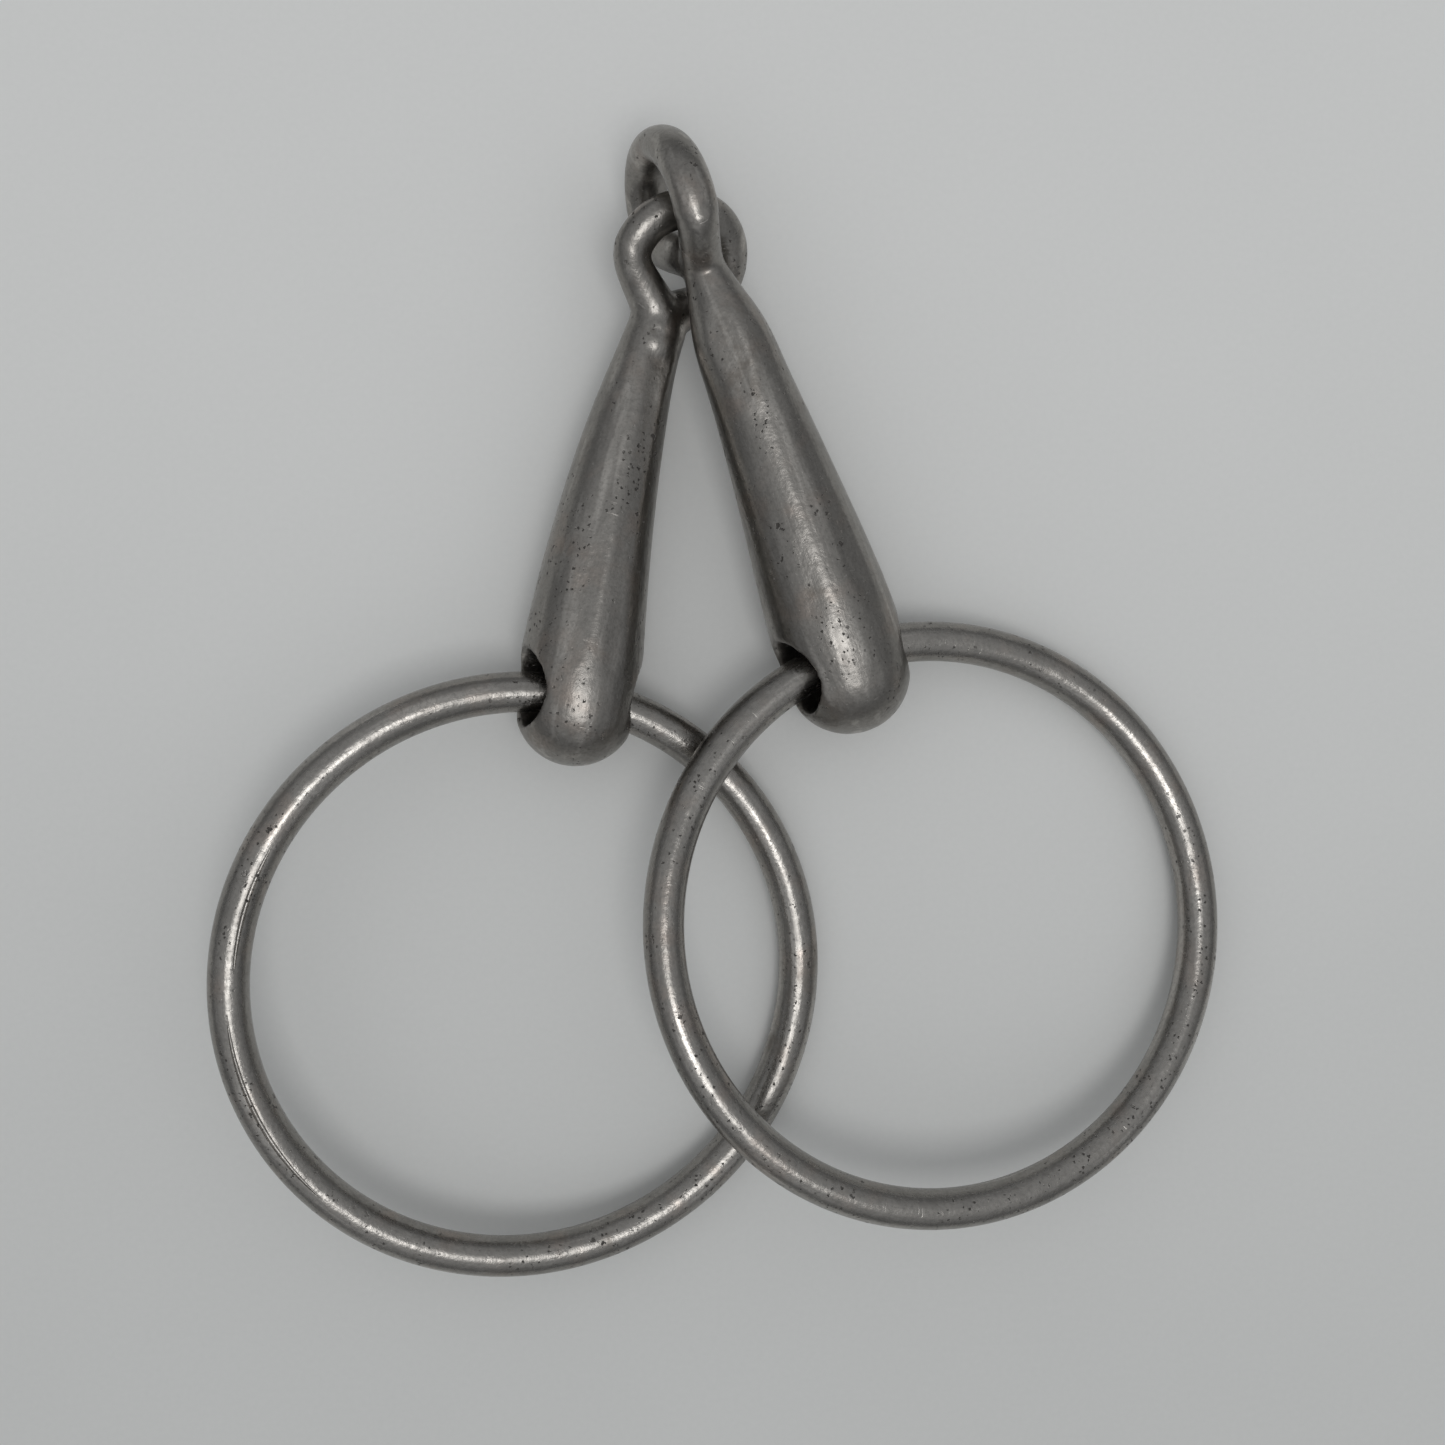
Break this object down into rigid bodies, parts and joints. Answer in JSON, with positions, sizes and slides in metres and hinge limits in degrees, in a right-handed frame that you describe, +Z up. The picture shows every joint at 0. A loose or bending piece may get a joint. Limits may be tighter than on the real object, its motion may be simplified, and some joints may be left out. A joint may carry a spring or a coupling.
{
  "type": "loose-ring snaffle bit",
  "caption": "Single-jointed loose-ring snaffle bit for a horse's bridle: tapered steel cannons linked eye through eye, each with a round ring running loose in its butt, lying folded.",
  "frame": {"origin": "on the table under the middle of the folded bit's footprint", "axes": "+Z up from the table, +Y from the rings to the centre joint, +X from the left ring to the right ring"},
  "size_m": [0.134, 0.1492, 0.0235],
  "materials": {
    "cannon_steel": "worn, dull, pitted",
    "ring_steel": "worn satin, lightly pitted"
  },
  "bodies": {
    "left_cannon": {"left_cannon": "cannon_steel"},
    "right_cannon": {"right_cannon": "cannon_steel"},
    "left_ring": {"left_ring": "ring_steel"},
    "right_ring": {"right_ring": "ring_steel"}
  },
  "joints": [
    {"name": "centre_joint", "type": "hinge", "parent": "left_cannon", "child": "right_cannon", "pos_m": [-0.00876, 0.06626, 0.01353], "axis": [-0.8869, -0.3598, 0.2898], "range_deg": [0, 90]},
    {"name": "left_ring_swing", "type": "hinge", "parent": "left_cannon", "child": "left_ring", "pos_m": [-0.02036, 0.00259, 0.00881], "axis": [0.9499, -0.1107, -0.2923], "range_deg": [0, 140]},
    {"name": "right_ring_swing", "type": "hinge", "parent": "right_cannon", "child": "right_ring", "pos_m": [0.01479, 0.00689, 0.0088], "axis": [0.9056, 0.3234, -0.2744], "range_deg": [-150, 0]}
  ]
}
